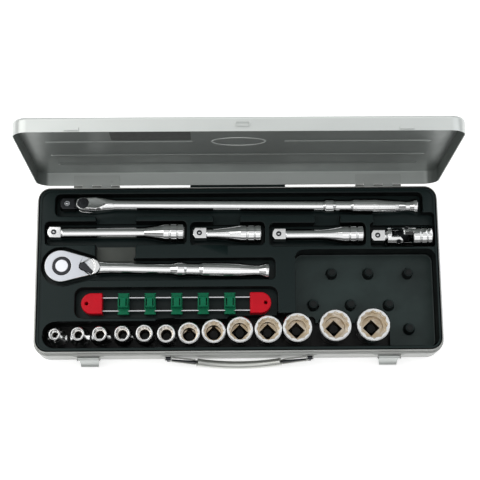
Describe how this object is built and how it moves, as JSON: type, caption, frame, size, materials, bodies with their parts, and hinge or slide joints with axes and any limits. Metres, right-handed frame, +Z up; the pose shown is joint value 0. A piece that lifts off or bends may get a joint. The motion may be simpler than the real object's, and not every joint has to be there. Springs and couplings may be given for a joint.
{
  "type": "socket wrench set in case",
  "caption": "Half-inch-drive socket wrench set: ratchet, flex-head bar, extensions, universal joint, socket rail and sockets in a formed tray inside a hinged sheet-metal case.",
  "frame": {"origin": "centre of the flat underside of the case", "axes": "+X along the case to the right as seen from the latches, +Y from the latches towards the hinges, +Z up; the lid stands open at rest"},
  "size_m": [0.4464, 0.2182, 0.2218],
  "materials": {
    "case_paint": "satin silver-grey metallic paint",
    "tray_plastic": "vacuum-formed, slightly glossy",
    "chrome": "polished chrome plate",
    "satin_chrome": "satin chrome plate",
    "dark_steel": "black oxide",
    "steel": "bright drawn",
    "grip_metal": "satin silver-grey",
    "cap_plastic": "moulded",
    "clip_plastic": "moulded",
    "label": "printed foil, plain"
  },
  "bodies": {
    "case": {"base_shell": "case_paint", "tray": "tray_plastic", "base_hinge_leaves": "case_paint", "hinge_pins": "steel", "lid_stop_strip": "tray_plastic", "handle_brackets": "case_paint", "handle_pins": "steel", "latch_brackets": "case_paint", "latch_pins": "steel"},
    "lid": {"lid_shell": "case_paint", "lid_hinge_leaves": "case_paint", "lid_label": "label"},
    "handle": {"handle_grip": "grip_metal", "handle_straps": "case_paint"},
    "latch_left": {"latch_left": "case_paint"},
    "latch_right": {"latch_right": "case_paint"},
    "ratchet": {"ratchet_body": "satin_chrome", "ratchet_cover": "satin_chrome", "ratchet_ring": "dark_steel"},
    "ratchet_drive": {"ratchet_gear": "satin_chrome", "ratchet_ball": "chrome"},
    "ratchet_pawl": {"ratchet_pawl": "dark_steel"},
    "ratchet_reverser": {"ratchet_lever": "dark_steel"},
    "breaker": {"breaker_bar": "chrome", "breaker_pin": "dark_steel"},
    "breaker_head": {"breaker_drive": "dark_steel", "breaker_ball": "chrome"},
    "extension_150": {"extension_150": "chrome", "extension_150_ball": "chrome"},
    "extension_75": {"extension_75": "chrome", "extension_75_ball": "chrome"},
    "extension_100": {"extension_100": "chrome", "extension_100_ball": "chrome"},
    "joint_drive": {"joint_drive_yoke": "chrome", "joint_ball": "chrome"},
    "joint_middle": {"joint_block": "dark_steel"},
    "joint_end": {"joint_socket_yoke": "chrome"},
    "rail": {"rail_rods": "steel", "rail_end_left": "cap_plastic", "rail_end_right": "cap_plastic"},
    "clip_1": {"rail_clip_1": "clip_plastic"},
    "clip_2": {"rail_clip_2": "clip_plastic"},
    "clip_3": {"rail_clip_3": "clip_plastic"},
    "clip_4": {"rail_clip_4": "clip_plastic"},
    "clip_5": {"rail_clip_5": "clip_plastic"},
    "socket_08": {"socket_08": "chrome"},
    "socket_10": {"socket_10": "chrome"},
    "socket_11": {"socket_11": "chrome"},
    "socket_12": {"socket_12": "chrome"},
    "socket_13": {"socket_13": "chrome"},
    "socket_14": {"socket_14": "chrome"},
    "socket_17": {"socket_17": "chrome"},
    "socket_19": {"socket_19": "chrome"},
    "socket_21": {"socket_21": "chrome"},
    "socket_22": {"socket_22": "chrome"},
    "socket_24": {"socket_24": "chrome"},
    "socket_26": {"socket_26": "chrome"},
    "socket_27": {"socket_27": "chrome"}
  },
  "joints": [
    {"name": "lid_hinge", "type": "hinge", "parent": "case", "child": "lid", "pos_m": [0, 0.0942, 0.0318], "axis": [-1, 0, 0], "range_deg": [-90, 0]},
    {"name": "latch_left_swing", "type": "hinge", "parent": "case", "child": "latch_left", "pos_m": [-0.1635, -0.0968, 0.024], "axis": [1, 0, 0], "range_deg": [-165, 0]},
    {"name": "latch_right_swing", "type": "hinge", "parent": "case", "child": "latch_right", "pos_m": [0.1635, -0.0968, 0.024], "axis": [1, 0, 0], "range_deg": [-165, 0]},
    {"name": "handle_swing", "type": "hinge", "parent": "case", "child": "handle", "pos_m": [0, -0.0968, 0.0225], "axis": [-1, 0, 0], "range_deg": [0, 125]},
    {"name": "ratchet_lift", "type": "slide", "parent": "case", "child": "ratchet", "axis": [0, 0, 1], "range_m": [0, 0.08]},
    {"name": "ratchet_drive_spin", "type": "hinge", "parent": "ratchet", "child": "ratchet_drive", "pos_m": [-0.1929, 0.0031, 0.0325], "axis": [0, 0, 1], "continuous": true},
    {"name": "reverser_swing", "type": "hinge", "parent": "ratchet", "child": "ratchet_reverser", "pos_m": [-0.16911, 0.00254, 0.0325], "axis": [0, 0, 1], "range_deg": [0, 70]},
    {"name": "pawl_tilt", "type": "hinge", "parent": "ratchet", "child": "ratchet_pawl", "pos_m": [-0.16911, 0.00254, 0.0325], "axis": [0, 0, 1], "range_deg": [0, 8]},
    {"name": "breaker_lift", "type": "slide", "parent": "case", "child": "breaker", "axis": [0, 0, 1], "range_m": [0, 0.08]},
    {"name": "breaker_head_flex", "type": "hinge", "parent": "breaker", "child": "breaker_head", "pos_m": [-0.1713, 0.0745, 0.031], "axis": [0, 0, 1], "range_deg": [-9, 17]},
    {"name": "extension_150_lift", "type": "slide", "parent": "case", "child": "extension_150", "axis": [0, 0, 1], "range_m": [0, 0.08]},
    {"name": "extension_75_lift", "type": "slide", "parent": "case", "child": "extension_75", "axis": [0, 0, 1], "range_m": [0, 0.08]},
    {"name": "extension_100_lift", "type": "slide", "parent": "case", "child": "extension_100", "axis": [0, 0, 1], "range_m": [0, 0.08]},
    {"name": "joint_lift", "type": "slide", "parent": "case", "child": "joint_drive", "axis": [0, 0, 1], "range_m": [0, 0.08]},
    {"name": "joint_bend", "type": "hinge", "parent": "joint_drive", "child": "joint_middle", "pos_m": [0.177, 0.0366, 0.03], "axis": [0, -0.7071, 0.7071], "range_deg": [0, 30]},
    {"name": "joint_cross_bend", "type": "hinge", "parent": "joint_middle", "child": "joint_end", "pos_m": [0.186, 0.0366, 0.03], "axis": [0, -0.7071, -0.7071], "range_deg": [0, 4]},
    {"name": "rail_lift", "type": "slide", "parent": "case", "child": "rail", "axis": [0, 0, 1], "range_m": [0, 0.08]},
    {"name": "clip_1_slide", "type": "slide", "parent": "rail", "child": "clip_1", "axis": [1, 0, 0], "range_m": [-0.0075, 0.0075]},
    {"name": "clip_2_slide", "type": "slide", "parent": "rail", "child": "clip_2", "axis": [1, 0, 0], "range_m": [-0.0075, 0.0075]},
    {"name": "clip_3_slide", "type": "slide", "parent": "rail", "child": "clip_3", "axis": [1, 0, 0], "range_m": [-0.0075, 0.0075]},
    {"name": "clip_4_slide", "type": "slide", "parent": "rail", "child": "clip_4", "axis": [1, 0, 0], "range_m": [-0.0075, 0.0075]},
    {"name": "clip_5_slide", "type": "slide", "parent": "rail", "child": "clip_5", "axis": [1, 0, 0], "range_m": [-0.0075, 0.0075]},
    {"name": "socket_08_lift", "type": "slide", "parent": "case", "child": "socket_08", "axis": [0, 0, 1], "range_m": [0, 0.06]},
    {"name": "socket_10_lift", "type": "slide", "parent": "case", "child": "socket_10", "axis": [0, 0, 1], "range_m": [0, 0.06]},
    {"name": "socket_11_lift", "type": "slide", "parent": "case", "child": "socket_11", "axis": [0, 0, 1], "range_m": [0, 0.06]},
    {"name": "socket_12_lift", "type": "slide", "parent": "case", "child": "socket_12", "axis": [0, 0, 1], "range_m": [0, 0.06]},
    {"name": "socket_13_lift", "type": "slide", "parent": "case", "child": "socket_13", "axis": [0, 0, 1], "range_m": [0, 0.06]},
    {"name": "socket_14_lift", "type": "slide", "parent": "case", "child": "socket_14", "axis": [0, 0, 1], "range_m": [0, 0.06]},
    {"name": "socket_17_lift", "type": "slide", "parent": "case", "child": "socket_17", "axis": [0, 0, 1], "range_m": [0, 0.06]},
    {"name": "socket_19_lift", "type": "slide", "parent": "case", "child": "socket_19", "axis": [0, 0, 1], "range_m": [0, 0.06]},
    {"name": "socket_21_lift", "type": "slide", "parent": "case", "child": "socket_21", "axis": [0, 0, 1], "range_m": [0, 0.06]},
    {"name": "socket_22_lift", "type": "slide", "parent": "case", "child": "socket_22", "axis": [0, 0, 1], "range_m": [0, 0.06]},
    {"name": "socket_24_lift", "type": "slide", "parent": "case", "child": "socket_24", "axis": [0, 0, 1], "range_m": [0, 0.06]},
    {"name": "socket_26_lift", "type": "slide", "parent": "case", "child": "socket_26", "axis": [0, 0, 1], "range_m": [0, 0.06]},
    {"name": "socket_27_lift", "type": "slide", "parent": "case", "child": "socket_27", "axis": [0, 0, 1], "range_m": [0, 0.06]}
  ]
}
